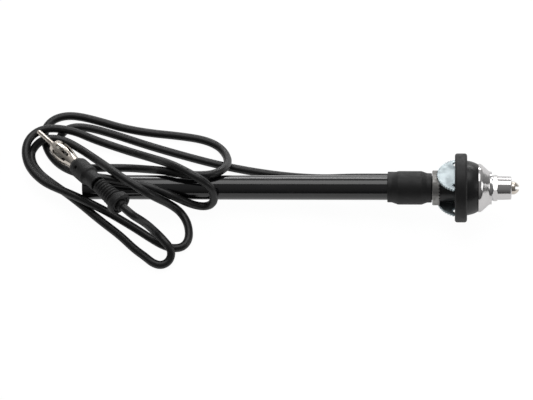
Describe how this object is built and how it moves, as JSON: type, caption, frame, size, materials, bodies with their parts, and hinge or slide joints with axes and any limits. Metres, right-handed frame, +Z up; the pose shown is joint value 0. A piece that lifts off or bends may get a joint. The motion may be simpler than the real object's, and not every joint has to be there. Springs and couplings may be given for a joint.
{
  "type": "telescopic antenna",
  "caption": "Retractable car aerial: black guard tube with rubber boot, tilting toothed claw, chrome cap and nose, telescopic mast and a coiled coax lead with a slotted plug.",
  "frame": {"origin": "middle of the footprint of the mast with its head, lead left out, on the flat surface that it lies on", "axes": "+X along the floor under the mast, from the tube's tail to the tip; +Z up; the mast itself rises 3.38 degrees towards +X because it lies on its tail and on the flange's rim"},
  "size_m": [0.3037, 0.1113, 0.0418],
  "materials": {
    "tube_black": "gloss black",
    "soft_rubber": "matte",
    "black_moulding": "satin",
    "zinc_ring": "satin zinc plate",
    "zinc_claw": "pale zinc plate",
    "chrome_plate": "mirror",
    "nickel": "nickel plated, satin",
    "steel": "bright drawn",
    "brass_inner": "plain",
    "white_insulator": "natural",
    "lead_jacket": "satin"
  },
  "bodies": {
    "base": {"guard_tube": "tube_black", "tail_plug": "black_moulding", "rubber_boot": "soft_rubber", "head_body": "black_moulding", "toothed_ring": "zinc_ring", "chrome_cap": "chrome_plate", "spring_washer": "steel", "clamp_nut": "chrome_plate", "nose_bush": "white_insulator", "liner_tube": "white_insulator", "contact_ring": "brass_inner", "contact_pin": "brass_inner", "coax_ferrule": "nickel", "plug_pin": "nickel", "plug_insulator": "white_insulator", "plug_barrel": "nickel", "plug_sleeve": "soft_rubber", "plug_relief": "soft_rubber", "coax_cable": "lead_jacket"},
    "claw_tilt": {"claw_bracket": "zinc_claw", "base_gasket": "soft_rubber", "swivel_dome": "black_moulding"},
    "section_1": {"mast_section_1": "steel", "section_foot_1": "brass_inner"},
    "section_2": {"mast_section_2": "steel", "section_foot_2": "brass_inner"},
    "section_3": {"mast_section_3": "steel", "section_foot_3": "brass_inner"},
    "top": {"top_rod": "steel", "section_foot_4": "brass_inner", "mast_tip": "nickel"}
  },
  "joints": [
    {"name": "section_1_slide", "type": "slide", "parent": "base", "child": "section_1", "axis": [0.9983, 0, 0.059], "range_m": [0, 0.168]},
    {"name": "section_2_slide", "type": "slide", "parent": "section_1", "child": "section_2", "axis": [0.9983, 0, 0.059], "range_m": [0, 0.226]},
    {"name": "section_3_slide", "type": "slide", "parent": "section_2", "child": "section_3", "axis": [0.9983, 0, 0.059], "range_m": [0, 0.224]},
    {"name": "top_slide", "type": "slide", "parent": "section_3", "child": "top", "axis": [0.9983, 0, 0.059], "range_m": [0, 0.222]},
    {"name": "claw_hinge", "type": "hinge", "parent": "base", "child": "claw_tilt", "pos_m": [0.09884, 0, 0.021], "axis": [-0.0558, 0.3256, 0.9439], "range_deg": [-15, 15]}
  ]
}
